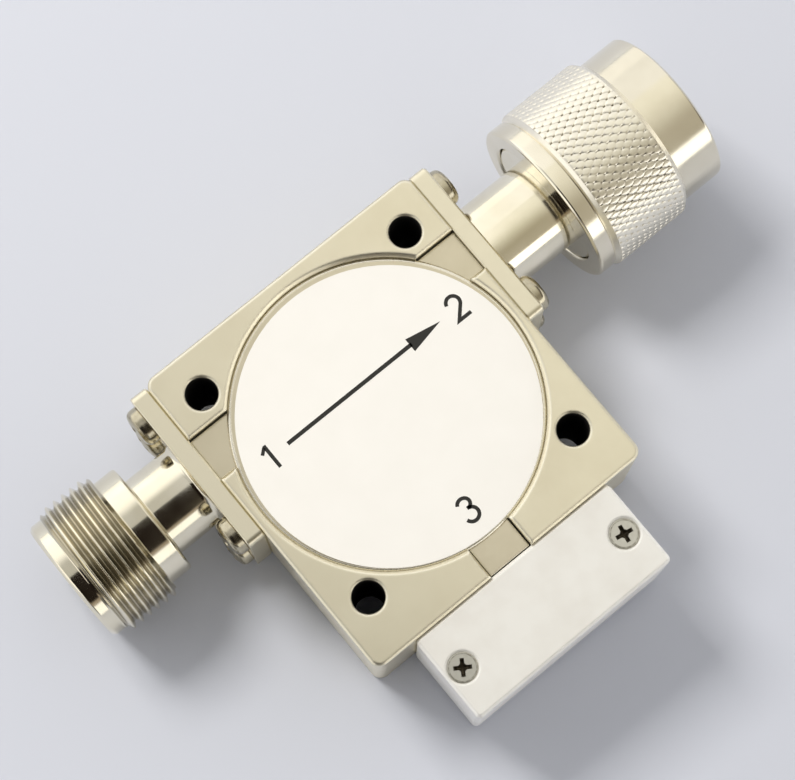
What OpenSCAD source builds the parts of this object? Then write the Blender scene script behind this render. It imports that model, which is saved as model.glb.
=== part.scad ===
// Coaxial isolator, drop-in body 35 x 38 x 15 mm with type N connectors.
// Millimetres. Signal runs along +X, from the jack to the plug.
// The origin is the middle of the four mounting holes, on the mounting face,
// and +Z points from the mounting face to the cover.

/* [Housing] */
// Housing length along the signal axis
housing_x = 35; // [30:0.5:45]
// Housing length across the signal axis
housing_y = 38; // [34:0.5:50]
// Housing height, from the mounting face to the top face
housing_z = 15; // [13:0.5:20]
// Radius of the upright corners
corner_r = 1.2; // [0.5:0.1:3]
// Broken edge round the top and the bottom faces
edge_break = 0.25; // [0.1:0.05:0.5]
// Thickness of the housing floor
floor_t = 2; // [1.2:0.1:3]
// Thinnest wall beside the round cavity that holds the stack
cavity_wall = 2.5; // [2:0.1:4.5]
// Cavity centre, ahead of the housing's own centre along Y
cavity_shift = 0.85; // [0:0.05:1.2]
// Width of the ledge under the cover's rim
ledge_w = 1.4; // [0.8:0.1:1.8]
// Depth of the cover recess below the top face
recess_depth = 2.2; // [1.6:0.1:3]
// Broken edge round the cover recess
recess_break = 0.35; // [0.1:0.05:0.5]

/* [Mounting holes] */
// From the mounting hole axes to the housing's two port sides
hole_edge = 4; // [3:0.1:5]
// From the mounting hole axes to the housing's back
hole_edge_back = 4.65; // [3:0.05:6]
// From the mounting hole axes to the side that takes the load
hole_edge_front = 6.35; // [4:0.05:8]
// Diameter of a mounting hole
hole_d = 3.4; // [2.6:0.1:4.2]

/* [Ports] */
// Height of the signal axis above the middle of the housing
port_rise = 0; // [-0.5:0.1:1]
// Signal axis, ahead of the housing's centre along Y
port_shift = 8.8; // [7:0.1:9.5]
// Width of the slot through the wall at each port
slot_w = 5.3; // [4:0.1:6]

/* [Cover] */
// Thickness of the cover's rim and lugs
cover_t = 1.2; // [0.8:0.1:2]
// Height of the round middle of the cover above its lugs
crown_h = 0.4; // [0.2:0.1:0.8]
// From the wall of the recess in to the round middle of the cover
crown_inset = 0.25; // [0.2:0.05:1.5]
// Broken edge round the middle of the cover
crown_break = 0.1; // [0.05:0.05:0.2]
// Clearance between the cover and its recess, all round
cover_gap = 0.15; // [0.05:0.05:0.3]
// Clearance between the ends of the cover's lugs and the flanges
lug_gap = 0.05; // [0:0.05:0.3]
// From the edge of the cover's round middle in to the label
label_inset = 0.35; // [0.2:0.05:1.5]
// How far the label sits off the middle of the cover, toward the load
label_shift = 0.3; // [0:0.05:0.35]
// Thickness of the label film
label_t = 0.1; // [0.05:0.05:0.2]

/* [Stack] */
// Thickness of each ferrite disc
ferrite_t = 2; // [1.5:0.1:2.4]
// From the edge of the stack in to each ferrite disc
ferrite_inset = 2.1; // [1.5:0.1:3]
// Thickness of each pole disc
pole_t = 0.8; // [0.5:0.1:1]
// Thickness of the temperature compensation disc
comp_t = 0.4; // [0.2:0.1:0.6]
// Thickness of the centre conductor
strip_t = 0.3; // [0.2:0.05:0.4]
// Width of the centre conductor's arms
arm_w = 2.4; // [1.6:0.1:3]
// Diameter of the resonator disc of the centre conductor
resonator_d = 13; // [10:0.5:16]
// Clearance between the stack and the cavity wall
stack_gap = 0.1; // [0.05:0.05:0.3]
// Clearance between a ferrite disc and the ring round it
ring_gap = 0.05; // [0.05:0.05:0.2]

/* [Connector flanges] */
// Flange length along Y
flange_y = 19.8; // [18:0.1:20.4]
// From the housing's top and bottom faces in to the flange
flange_inset = 0.2; // [0.1:0.05:1]
// Flange thickness
flange_t = 2.05; // [1.6:0.05:3]
// Radius of the flange corners
flange_r = 0.8; // [0.4:0.1:2]
// From the flange's ends in to the screw axes
screw_edge_y = 2.5; // [2:0.1:3]
// From the flange's top and bottom in to the screw axes
screw_edge_z = 3.2; // [2.6:0.1:3.8]
// Thread diameter of a flange screw
screw_d = 2.5; // [2:0.1:2.6]
// Head diameter of a flange screw
head_d = 4.3; // [3.8:0.1:5]
// Head height of a flange screw
head_h = 1.6; // [1.2:0.1:2]
// How far a flange screw reaches into the housing
screw_grip = 2; // [1.2:0.1:2.2]
// Play round a screw in its clearance hole, on the radius
screw_play = 0.1; // [0.05:0.05:0.2]
// Gap between a screw and its tapped hole, on the radius
tap_gap = 0.02; // [0.01:0.01:0.05]

/* [Type N interface] */
// Major diameter of the coupling thread, 5/8 inch
thread_d = 15.7; // [15.6:0.01:16]
// Depth of the jack's bore, from the rim to the reference plane
jack_bore_depth = 9.1; // [8.8:0.05:9.3]
// Inner diameter of the outer conductor
line_d = 7; // [6.9:0.01:7.1]
// Wall of the plug's slotted sleeve, round the outer conductor's bore
sleeve_wall = 0.5; // [0.4:0.01:0.6]
// Play between the plug's sleeve and the jack's bore, on the radius
sleeve_play = 0.05; // [0.03:0.01:0.1]
// Diameter of the centre contacts
contact_d = 3.04; // [3:0.01:3.1]
// Diameter of the plug's pin, and of the hole that takes it
pin_d = 1.65; // [1.6:0.01:1.68]
// How far the jack's contact stands ahead of the reference plane
contact_proud = 5.26; // [5:0.01:5.3]
// Width of the slots in the contact and in the sleeve
spring_slot = 0.35; // [0.25:0.05:0.5]

/* [Jack] */
// Diameter of the neck behind the jack's shell
neck_d = 9.5; // [9:0.1:11]
// Where the neck ends, measured from the housing
neck_end = 7.7; // [6:0.1:12]
// Diameter of the plain ring behind the thread
collar_d = 13.2; // [12:0.1:14.4]
// Where the plain ring ends, measured from the housing
collar_end = 10.3; // [9.8:0.1:16]
// Length of the threaded stretch
thread_len = 6.6; // [5:0.1:11]
// Diameter of the plain rim ahead of the thread
rim_d = 14.3; // [13.8:0.1:14.8]
// Length of the plain rim
rim_len = 1.6; // [0.8:0.1:2]

/* [Plug] */
// Diameter of the plug's barrel
barrel_d = 10.4; // [9.4:0.1:12]
// Where the barrel meets the nut's bearing shoulder, from the housing
shoulder_start = 10.7; // [10.6:0.1:17]
// Length of the bearing shoulder
shoulder_len = 5.6; // [2.4:0.1:6.5]
// Distance from the shoulder's face to the tip of the sleeve
sleeve_len = 9.8; // [9.5:0.1:10]
// Length of the slots in the sleeve
sleeve_slot_len = 6.5; // [4:0.5:8]
// Thickness of the rubber gasket
gasket_t = 0.9; // [0.7:0.1:1.2]
// Thickness of the retaining ring
ring_t = 0.8; // [0.6:0.1:1]
// Play of the retaining ring in its grooves, along the axis
ring_play = 0.1; // [0.05:0.05:0.2]

/* [Coupling nut] */
// Depth of the nut's thread, from the coupling thread's major diameter in
nut_thread = 0.44; // [0.4:0.01:0.6]
// Running clearance between the nut and the shoulder, on the radius
nut_gap = 0.08; // [0.03:0.01:0.1]
// Where the nut starts, measured from the housing
nut_start = 10.5; // [9:0.1:13]
// Wall of the plain collar at the back of the nut
nut_collar_wall = 2.25; // [1.3:0.05:2.6]
// Length of the plain collar
nut_collar_len = 2.1; // [1.6:0.1:4]
// Wall of the nut over the knurl
knurl_wall = 2.6; // [2.2:0.05:3.2]
// Length of the knurled band
knurl_len = 10; // [7:0.1:12]
// Wall of the plain front of the nut
nut_front_wall = 1.75; // [1.3:0.05:2.2]
// Length of the plain front
nut_front_len = 5.3; // [4:0.1:7]

/* [Load] */
// Length of the load block along X
load_x = 25.4; // [22:0.1:30]
// Depth of the load block along Y
load_y = 10.2; // [9.8:0.1:14]
// From the housing's top face down to the lid's
load_drop = 0.4; // [0.1:0.1:2]
// Thickness of the lid
lid_t = 1.8; // [1.6:0.1:3]
// From the ends of the block in to the lid screw axes
lid_screw_edge = 2.05; // [1.8:0.05:2.5]
// Thread diameter of the lid screws
lid_screw_d = 2; // [1.6:0.1:2.2]
// Head diameter of the countersunk lid screws
lid_head_d = 3.4; // [3:0.1:4]
// Length of a lid screw below the lid
lid_screw_grip = 4; // [3:0.5:7]
// Wall between the load's pocket and the block's long faces
load_wall = 1.7; // [1.2:0.1:2.4]
// Wall between the load's pocket and the block's ends
pocket_end = 5; // [4:0.1:6]
// Thickness of the resistor's metal base
base_t = 1.6; // [1:0.1:2]
// Thickness of the resistor's ceramic body
chip_t = 1.5; // [1:0.1:2]
// Thickness of the resistor's tab
tab_t = 0.12; // [0.08:0.01:0.2]
// From the pocket's ends in to the hidden screws that hold the block
load_screw_edge = 2.5; // [2:0.1:4]

/* [Hidden] */
$fn = 96;
eps = 0.01;

hole_pitch_x = housing_x - 2 * hole_edge;
hole_pitch_y = housing_y - hole_edge_back - hole_edge_front;
cavity_d = min(housing_x, housing_y) - 2 * cavity_wall;
recess_d = cavity_d + 2 * ledge_w;
crown_d = recess_d - 2 * crown_inset;
label_d = crown_d - 2 * label_inset;
port_z = housing_z / 2 + port_rise;

centre_y = (hole_edge_back - hole_edge_front) / 2;
cavity_y = centre_y + cavity_shift;
port_y = centre_y + port_shift;
front_y = centre_y - housing_y / 2;
ledge_z = housing_z - recess_depth;
lug_top = ledge_z + cover_t;
crown_top = lug_top + crown_h;
stack_d = cavity_d - 2 * stack_gap;
ferrite_d = stack_d - 2 * ferrite_inset;
strip_bottom = port_z - strip_t / 2;
strip_top = port_z + strip_t / 2;
lower_ferrite_z = strip_bottom - ferrite_t;
lower_pole_z = lower_ferrite_z - pole_t;
upper_pole_z = strip_top + ferrite_t;
upper_magnet_z = upper_pole_z + pole_t;
comp_z = ledge_z - comp_t;
seal_d = slot_w - 0.7;
seal_back = (housing_x - cavity_d) / 2 - 0.6;
pin_back = seal_back + 1.7;
arm_end = housing_x / 2 - seal_back - 0.1;
rear_pin_d = 1.3;
line_pin_d = 2.1;

flange_z = housing_z - 2 * flange_inset;
screw_pitch_y = flange_y - 2 * screw_edge_y;
screw_pitch_z = flange_z - 2 * screw_edge_z;
sleeve_d = line_d + 2 * sleeve_wall;
jack_bore_d = sleeve_d + 2 * sleeve_play;

thread_end = collar_end + thread_len;
rim_end = thread_end + rim_len;
reference = rim_end - jack_bore_depth;
jack_fill = reference - 2.2;

shoulder_end = shoulder_start + shoulder_len;
nut_bore_d = thread_d - 2 * nut_thread;
nut_collar_d = nut_bore_d + 2 * nut_collar_wall;
knurl_d = nut_bore_d + 2 * knurl_wall;
nut_front_d = nut_bore_d + 2 * nut_front_wall;
shoulder_d = nut_bore_d - 2 * nut_gap;
sleeve_tip = shoulder_end + sleeve_len;
plug_fill = shoulder_end + 2;
pin_shoulder = sleeve_tip - contact_proud;
ring_z = shoulder_start + (shoulder_len - ring_t) / 2;
ring_in_d = shoulder_d - 2.2;
ring_out_d = nut_bore_d + 1.2;

nut_knurl = nut_start + nut_collar_len;
nut_front = nut_knurl + knurl_len;
nut_end = nut_front + nut_front_len;

load_mid_y = front_y - load_y / 2;
load_z = housing_z - load_drop;
lid_z = load_z - lid_t;
lid_pitch = load_x - 2 * lid_screw_edge;
pocket_x = load_x - 2 * pocket_end;
load_pitch = pocket_x - 2 * load_screw_edge;
pocket_y = load_y - 2 * load_wall;
tab_top = strip_bottom;
chip_z = tab_top - tab_t - chip_t;
base_z = chip_z - base_t;
load_screw_d = 2;
load_head_d = 3.4;
load_head_h = 1.1;
load_screw_z = lid_z - load_head_d / 2 - 0.4;
load_screw_grip = 3;

// Which piece to draw

nickel = [0.84, 0.81, 0.71];
bright_nickel = [0.8, 0.8, 0.76];
steel = [0.7, 0.7, 0.68];
gold = [0.87, 0.7, 0.33];
white_plastic = [0.95, 0.95, 0.93];
black_ceramic = [0.16, 0.16, 0.17];
white_ceramic = [0.93, 0.92, 0.88];
aluminium = [0.88, 0.87, 0.85];
copper = [0.8, 0.5, 0.35];
red_rubber = [0.62, 0.2, 0.16];

// A block on z = 0 with round upright corners and broken edges top and bottom.
module broken_block(x, y, z, r, top, bottom) {
  function side(w) = [
    [bottom - w, 0], [w - bottom, 0], [w, bottom], [w, z - top],
    [w - top, z], [top - w, z], [-w, z - top], [-w, bottom]
  ];
  rotate([90, 0, 0]) linear_extrude(y - 2 * r, center = true)
    polygon(side(x / 2));
  rotate([90, 0, 90]) linear_extrude(x - 2 * r, center = true)
    polygon(side(y / 2));
  for (sx = [-1, 1], sy = [-1, 1])
    translate([sx * (x / 2 - r), sy * (y / 2 - r), 0])
      rotate_extrude() polygon([
        [0, 0], [r - bottom, 0], [r, bottom], [r, z - top], [r - top, z], [0, z]
      ]);
}

// A solid of revolution along +Z from its outline, given as [radius, z].
module turned(outline) {
  rotate_extrude() polygon(outline);
}

// Places a connector: its own +Z leaves the housing along X on the given side.
module at_port(side) {
  translate([side * housing_x / 2, port_y, port_z]) rotate([0, 90 * side, 0])
    children();
}

// The four screw places of a flange, in the connector's own frame.
module at_flange_screws() {
  for (h = [-1, 1], w = [-1, 1])
    translate([h * screw_pitch_z / 2, w * screw_pitch_y / 2, 0]) children();
}

// The four mounting hole axes.
module at_mounting_holes() {
  for (sx = [-1, 1], sy = [-1, 1])
    translate([sx * hole_pitch_x / 2, sy * hole_pitch_y / 2, 0]) children();
}

// A cross recess, cut down from z = 0.
module cross_recess(span, depth) {
  translate([0, 0, -depth]) for (a = [0, 90]) rotate(a)
    translate([-span / 2, -span * 0.11, 0]) cube([span, span * 0.22, depth + 1]);
  translate([0, 0, -depth * 1.15])
    cylinder(h = depth * 1.15 + 1, d1 = span * 0.3, d2 = span * 0.62);
}

// A pan head screw: the head stands on z = 0, the shank goes down.
module pan_screw(d, reach, hd, hh) {
  edge = hh * 0.45;
  difference() {
    union() {
      turned(concat(
        [[0, 0], [hd / 2, 0], [hd / 2, hh - edge]],
        [for (a = [15:15:75]) [
          hd / 2 - edge + edge * cos(a), hh - edge + edge * 0.8 * sin(a)
        ]],
        [[hd / 2 - edge, hh - edge * 0.2], [0, hh]]
      ));
      turned([
        [0, -reach], [d / 2 - 0.3, -reach], [d / 2, 0.3 - reach], [d / 2, eps], [0, eps]
      ]);
    }
    translate([0, 0, hh]) cross_recess(hd * 0.6, hh * 0.55);
  }
}

// The slot through the wall at a port, open to the top, from the axis out by reach.
module port_slot(w, from, reach) {
  translate([from, 0, 0]) {
    rotate([0, 90, 0]) cylinder(h = reach, d = w);
    translate([0, -w / 2, 0]) cube([reach, w, housing_z]);
  }
}

// Calls its child along each port's slot, with +X pointing out of the housing.
module at_slots() {
  translate([0, port_y, port_z]) children();
  translate([0, port_y, port_z]) rotate(180) children();
  translate([0, cavity_y, port_z]) rotate(-90) children();
}

module housing() {
  color(nickel) difference() {
    translate([0, centre_y, 0])
      broken_block(housing_x, housing_y, housing_z, corner_r, edge_break, edge_break);
    translate([0, cavity_y, floor_t]) cylinder(h = housing_z, d = cavity_d);
    translate([0, cavity_y, ledge_z]) cylinder(h = housing_z, d = recess_d);
    translate([0, cavity_y, housing_z - recess_break]) turned([
      [0, 0], [recess_d / 2, 0], [recess_d / 2 + 2 * recess_break, 2 * recess_break],
      [0, 2 * recess_break]
    ]);
    at_slots() port_slot(slot_w, cavity_d / 2 - 5, housing_y);
    at_slots() translate([cavity_d / 2 - 5, 0, housing_z - port_z - edge_break])
      rotate([90, 0, 90]) linear_extrude(housing_y) polygon([
        [-slot_w / 2, 0], [slot_w / 2, 0], [slot_w / 2 + 2 * edge_break, 2 * edge_break],
        [-slot_w / 2 - 2 * edge_break, 2 * edge_break]
      ]);
    at_mounting_holes() {
      translate([0, 0, -1]) cylinder(h = housing_z + 2, d = hole_d);
      for (z = [0, housing_z]) translate([0, 0, z]) rotate([z > 0 ? 180 : 0, 0, 0])
        translate([0, 0, -eps]) cylinder(h = 0.2, d1 = hole_d + 0.4, d2 = hole_d);
    }
    for (side = [-1, 1]) at_port(side) at_flange_screws()
      translate([0, 0, -screw_grip - 0.1])
        cylinder(h = screw_grip + 1, d = screw_d + 2 * tap_gap);
    at_load_screws() translate([0, 0, -load_screw_grip - 0.5])
      cylinder(h = load_screw_grip + 1, d = load_screw_d + 2 * tap_gap);
  }
}

module cover() {
  color(nickel) {
    intersection() {
      translate([0, 0, ledge_z]) union() {
        translate([0, cavity_y, 0]) cylinder(h = cover_t, d = recess_d - 2 * cover_gap);
        translate([0, 0, -port_z]) at_slots()
          translate([0, cover_gap - slot_w / 2, 0])
            cube([housing_y, slot_w - 2 * cover_gap, cover_t]);
      }
      translate([0, centre_y, 0]) translate([
        lug_gap - housing_x / 2, cover_gap - housing_y / 2, 0
      ]) cube([housing_x - 2 * lug_gap, housing_y, housing_z]);
    }
    translate([0, cavity_y, lug_top - eps]) turned([
      [0, 0], [crown_d / 2, 0], [crown_d / 2, crown_h - crown_break],
      [crown_d / 2 - crown_break, crown_h + eps], [0, crown_h + eps]
    ]);
  }
}

module label() {
  color(white_plastic) translate([0, cavity_y - label_shift, crown_top])
    cylinder(h = label_t, d = label_d);
}

// A plain disc of the stack, centred in the cavity.
module disc(z, t, d) {
  translate([0, cavity_y, z]) cylinder(h = t, d = d);
}

// A ring that centres a ferrite disc in the cavity.
module dielectric_ring(z) {
  color(white_ceramic) difference() {
    disc(z, ferrite_t, stack_d);
    disc(z - 1, ferrite_t + 2, ferrite_d + 2 * ring_gap);
  }
}

module magnet_lower() {
  color(black_ceramic) disc(floor_t, lower_pole_z - floor_t, stack_d);
}

module pole_disc_lower() {
  color(steel) disc(lower_pole_z, pole_t, stack_d);
}

module ferrite_lower() {
  color(black_ceramic) disc(lower_ferrite_z, ferrite_t, ferrite_d);
}

module dielectric_ring_lower() {
  dielectric_ring(lower_ferrite_z);
}

module ferrite_upper() {
  color(black_ceramic) disc(strip_top, ferrite_t, ferrite_d);
}

module dielectric_ring_upper() {
  dielectric_ring(strip_top);
}

module pole_disc_upper() {
  color(steel) disc(upper_pole_z, pole_t, stack_d);
}

module magnet_upper() {
  color(black_ceramic) disc(upper_magnet_z, comp_z - upper_magnet_z, stack_d);
}

module compensation_disc() {
  color(steel) disc(comp_z, comp_t, stack_d - 1);
}

// The Y junction: a resonator with a slotted stub between each pair of arms.
module centre_conductor() {
  bend_x = ferrite_d / 2 - 0.9;
  rise = port_y - cavity_y;
  arm_angle = atan2(rise, bend_x);
  stub_r = resonator_d * 0.78;
  color(copper) translate([0, cavity_y, strip_bottom]) linear_extrude(strip_t)
    difference() {
      union() {
        circle(d = resonator_d);
        for (a = [arm_angle, 180 - arm_angle]) rotate(a)
          translate([0, -arm_w / 2]) square([norm([bend_x, rise]), arm_w]);
        for (s = [-1, 1]) {
          translate([s * bend_x, rise]) circle(d = arm_w);
          translate([s > 0 ? bend_x : -arm_end, rise - arm_w / 2])
            square([arm_end - bend_x, arm_w]);
        }
        translate([-arm_w / 2, front_y - cavity_y - load_wall - 1.6])
          square([arm_w, cavity_y - front_y + load_wall + 1.6]);
        for (a = [90, 210, 330]) intersection() {
          circle(r = stub_r);
          rotate(a) polygon([
            [0, 0], [stub_r * 1.2, -stub_r * 0.42], [stub_r * 1.2, stub_r * 0.42]
          ]);
        }
      }
      for (a = [90, 210, 330]) rotate(a)
        translate([resonator_d * 0.3, -0.3]) square([stub_r, 0.6]);
      for (a = [30, 150, 270]) rotate(a)
        translate([resonator_d * 0.22, -0.25]) square([resonator_d * 0.2, 0.5]);
    }
}

// A square flange with its four screw holes, on the housing's face.
module flange() {
  difference() {
    broken_block(flange_z, flange_y, flange_t, flange_r, 0.2, 0.1);
    at_flange_screws() translate([0, 0, -1])
      cylinder(h = flange_t + 2, d = screw_d + 2 * screw_play);
  }
}

// Slots cut across a spring contact, from its tip down.
module spring_slots(tip, len, span) {
  for (a = [45, 135]) rotate(a)
    translate([-span / 2, -spring_slot / 2, tip - len]) cube([span, spring_slot, len + 1]);
}

// Insulators: a fill in the outer conductor and a boss through the housing wall.
module insulator(fill) {
  difference() {
    turned([
      [0, -seal_back], [seal_d / 2, -seal_back], [seal_d / 2, 0],
      [line_d / 2 - tap_gap, 0], [line_d / 2 - tap_gap, fill - 0.2],
      [line_d / 2 - tap_gap - 0.2, fill], [0, fill]
    ]);
    turned([
      [0, -seal_back - 1], [rear_pin_d / 2 + tap_gap, -seal_back - 1],
      [rear_pin_d / 2 + tap_gap, 0.5], [line_pin_d / 2 + tap_gap, 0.5],
      [line_pin_d / 2 + tap_gap, fill + 1], [0, fill + 1]
    ]);
  }
}

// Removes the half of a rear pin that the conductor's arm takes the place of.
module arm_flat() {
  difference() {
    children();
    translate([seal_back - housing_x / 2, port_y - 2, strip_top - 3])
      cube([housing_x - 2 * seal_back, 4, 3]);
  }
}

module jack_body() {
  color(bright_nickel) at_port(-1) difference() {
    union() {
      flange();
      turned([
        [0, eps], [neck_d / 2 + 0.3, eps], [neck_d / 2 + 0.3, flange_t],
        [neck_d / 2, flange_t + 0.3],
        [neck_d / 2, neck_end - 0.1], [collar_d / 2 - 0.2, neck_end],
        [collar_d / 2, neck_end + 0.2], [collar_d / 2, collar_end],
        [thread_d / 2 - 0.5, collar_end], [thread_d / 2, collar_end + 0.4],
        [thread_d / 2, thread_end - 0.4], [thread_d / 2 - 0.5, thread_end],
        [rim_d / 2, thread_end], [rim_d / 2, rim_end - 0.4],
        [rim_d / 2 - 0.4, rim_end], [0, rim_end]
      ]);
    }
    turned([
      [0, -1], [line_d / 2, -1], [line_d / 2, reference],
      [jack_bore_d / 2, reference], [jack_bore_d / 2, rim_end - 0.6],
      [jack_bore_d / 2 + 0.7, rim_end + 0.1], [0, rim_end + 0.1]
    ]);
  }
}

module jack_insulator() {
  color(white_plastic) at_port(-1) insulator(jack_fill);
}

module jack_contact() {
  tip = reference + contact_proud;
  color(gold) arm_flat() at_port(-1) difference() {
    turned([
      [0, -pin_back], [rear_pin_d / 2, -pin_back], [rear_pin_d / 2, 0.5],
      [line_pin_d / 2, 0.5], [line_pin_d / 2, jack_fill],
      [contact_d / 2, jack_fill], [contact_d / 2, tip - 0.5],
      [contact_d / 2 - 0.3, tip], [0, tip]
    ]);
    translate([0, 0, tip - 5]) cylinder(h = 6, d = pin_d);
    translate([0, 0, tip - 0.3]) cylinder(h = 0.31, d1 = pin_d, d2 = pin_d + 0.6);
    spring_slots(tip, 4, contact_d + 1);
  }
}

module jack_screws() {
  color(steel) at_port(-1) at_flange_screws() translate([0, 0, flange_t])
    rotate(20) pan_screw(screw_d, flange_t + screw_grip, head_d, head_h);
}

module plug_body() {
  color(bright_nickel) at_port(1) difference() {
    union() {
      flange();
      turned([
        [0, eps], [barrel_d / 2, eps], [barrel_d / 2, shoulder_start],
        [shoulder_d / 2 - 0.2, shoulder_start], [shoulder_d / 2, shoulder_start + 0.2],
        [shoulder_d / 2, shoulder_end], [sleeve_d / 2, shoulder_end],
        [sleeve_d / 2, sleeve_tip - 0.3], [sleeve_d / 2 - 0.2, sleeve_tip], [0, sleeve_tip]
      ]);
    }
    translate([0, 0, -1]) cylinder(h = sleeve_tip + 2, d = line_d);
    translate([0, 0, ring_z]) difference() {
      cylinder(h = ring_t + ring_play, d = shoulder_d + 2);
      translate([0, 0, -1]) cylinder(h = ring_t + 3, d = ring_in_d - 0.2);
    }
    spring_slots(sleeve_tip, sleeve_slot_len, sleeve_d + 1);
  }
}

module plug_insulator() {
  color(white_plastic) at_port(1) insulator(plug_fill);
}

module plug_pin() {
  tip = sleeve_tip - 0.4;
  color(gold) arm_flat() at_port(1) turned([
    [0, -pin_back], [rear_pin_d / 2, -pin_back], [rear_pin_d / 2, 0.5],
    [line_pin_d / 2, 0.5], [line_pin_d / 2, plug_fill],
    [contact_d / 2, plug_fill], [contact_d / 2, pin_shoulder],
    [pin_d / 2, pin_shoulder], [pin_d / 2, tip - 0.7], [pin_d / 2 - 0.15, tip - 0.35],
    [pin_d / 2 - 0.45, tip], [0, tip]
  ]);
}

module plug_screws() {
  color(steel) at_port(1) at_flange_screws() translate([0, 0, flange_t])
    rotate(35) pan_screw(screw_d, flange_t + screw_grip, head_d, head_h);
}

module gasket() {
  color(red_rubber) at_port(1) translate([0, 0, shoulder_end]) difference() {
    cylinder(h = gasket_t, d = nut_bore_d - 0.6);
    translate([0, 0, -1]) cylinder(h = gasket_t + 2, d = sleeve_d + 0.6);
  }
}

// A split ring, half in the shoulder's groove and half in the nut's.
module retaining_ring() {
  color(steel) at_port(1) translate([0, 0, ring_z]) difference() {
    cylinder(h = ring_t, d = ring_out_d);
    translate([0, 0, -1]) cylinder(h = ring_t + 2, d = ring_in_d);
    rotate(60) translate([0, -1, -1]) cube([ring_out_d, 2, ring_t + 2]);
  }
}

module coupling_nut() {
  color(bright_nickel) at_port(1) difference() {
    turned([
      [0, nut_start], [nut_collar_d / 2 - 0.4, nut_start],
      [nut_collar_d / 2, nut_start + 0.4], [nut_collar_d / 2, nut_knurl],
      [knurl_d / 2 - 0.6, nut_knurl], [knurl_d / 2, nut_knurl + 0.6],
      [knurl_d / 2, nut_front - 0.6], [knurl_d / 2 - 0.6, nut_front],
      [nut_front_d / 2, nut_front], [nut_front_d / 2, nut_end - 0.3],
      [nut_front_d / 2 - 0.3, nut_end], [0, nut_end]
    ]);
    turned([
      [0, nut_start - 1], [nut_bore_d / 2 + 0.3, nut_start - 1],
      [nut_bore_d / 2 + 0.3, nut_start], [nut_bore_d / 2, nut_start + 0.3],
      [nut_bore_d / 2, ring_z - ring_play], [ring_out_d / 2 + 0.1, ring_z - ring_play],
      [ring_out_d / 2 + 0.1, ring_z + ring_t + ring_play],
      [nut_bore_d / 2, ring_z + ring_t + ring_play], [nut_bore_d / 2, nut_end - 0.6],
      [nut_bore_d / 2 + 0.7, nut_end + 0.1], [0, nut_end + 0.1]
    ]);
  }
}

// The two lid screw axes.
module at_lid_screws() {
  for (s = [-1, 1]) translate([s * lid_pitch / 2, load_mid_y, 0]) children();
}

// The two screws through the back of the pocket: +Z points out of the housing.
module at_load_screws() {
  for (s = [-1, 1]) translate([s * load_pitch / 2, front_y, load_screw_z])
    rotate([90, 0, 0]) children();
}

module load_block() {
  color(aluminium) difference() {
    translate([0, load_mid_y, 0]) broken_block(load_x, load_y, lid_z, 0.6, 0.05, 0.3);
    translate([-pocket_x / 2, load_mid_y - pocket_y / 2, base_z])
      cube([pocket_x, pocket_y, load_z]);
    translate([0, load_mid_y, port_z]) rotate([-90, 0, 0])
      cylinder(h = load_y, d = slot_w - 1);
    at_load_screws() translate([0, 0, -1])
      cylinder(h = load_wall + 2, d = load_screw_d + 2 * screw_play);
    at_lid_screws() translate([0, 0, lid_z - lid_screw_grip - 0.3])
      cylinder(h = lid_screw_grip + 1, d = lid_screw_d + 2 * tap_gap);
  }
}

module load_lid() {
  sink = (lid_head_d - lid_screw_d) / 2;
  color(aluminium) difference() {
    translate([0, load_mid_y, lid_z]) broken_block(load_x, load_y, lid_t, 0.6, 0.3, 0.05);
    at_lid_screws() {
      translate([0, 0, lid_z - 1]) cylinder(h = lid_t + 2, d = lid_screw_d + 2 * screw_play);
      translate([0, 0, load_z]) turned([
        [0, -sink - 0.1], [lid_screw_d / 2, -sink - 0.1], [lid_head_d / 2 + 0.1, 0],
        [lid_head_d / 2 + 0.1, 1], [0, 1]
      ]);
    }
  }
}

module lid_screws() {
  sink = (lid_head_d - lid_screw_d) / 2;
  top = load_z - 0.1;
  low = lid_z - lid_screw_grip;
  color(steel) at_lid_screws() difference() {
    turned([
      [0, low], [lid_screw_d / 2 - 0.3, low], [lid_screw_d / 2, low + 0.3],
      [lid_screw_d / 2, top - sink], [lid_head_d / 2, top], [0, top]
    ]);
    translate([0, 0, top]) rotate(25) cross_recess(lid_head_d * 0.6, 0.7);
  }
}

module load_screws() {
  color(steel) at_load_screws() translate([0, 0, load_wall])
    pan_screw(load_screw_d, load_wall + load_screw_grip, load_head_d, load_head_h);
}

module resistor_base() {
  color(copper) translate([0, load_mid_y, base_z + base_t / 2])
    cube([pocket_x - 1, pocket_y - 0.8, base_t], center = true);
}

module resistor_chip() {
  color(white_ceramic) translate([0, load_mid_y, chip_z + chip_t / 2])
    cube([9, pocket_y - 1.2, chip_t], center = true);
}

module resistor_tab() {
  color(copper) translate([-arm_w / 2, load_mid_y - 0.6, chip_z + chip_t])
    cube([arm_w, pocket_y / 2 + 0.4, tab_t]);
}

housing();
cover();
label();
magnet_lower();
pole_disc_lower();
ferrite_lower();
dielectric_ring_lower();
centre_conductor();
ferrite_upper();
dielectric_ring_upper();
pole_disc_upper();
magnet_upper();
compensation_disc();
jack_body();
jack_insulator();
jack_contact();
jack_screws();
plug_body();
plug_insulator();
plug_pin();
plug_screws();
gasket();
retaining_ring();
coupling_nut();
load_block();
load_lid();
lid_screws();
load_screws();
resistor_base();
resistor_chip();
resistor_tab();
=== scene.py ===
import math

import bmesh
import bpy
import numpy as np
from mathutils import Matrix, Vector


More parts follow.
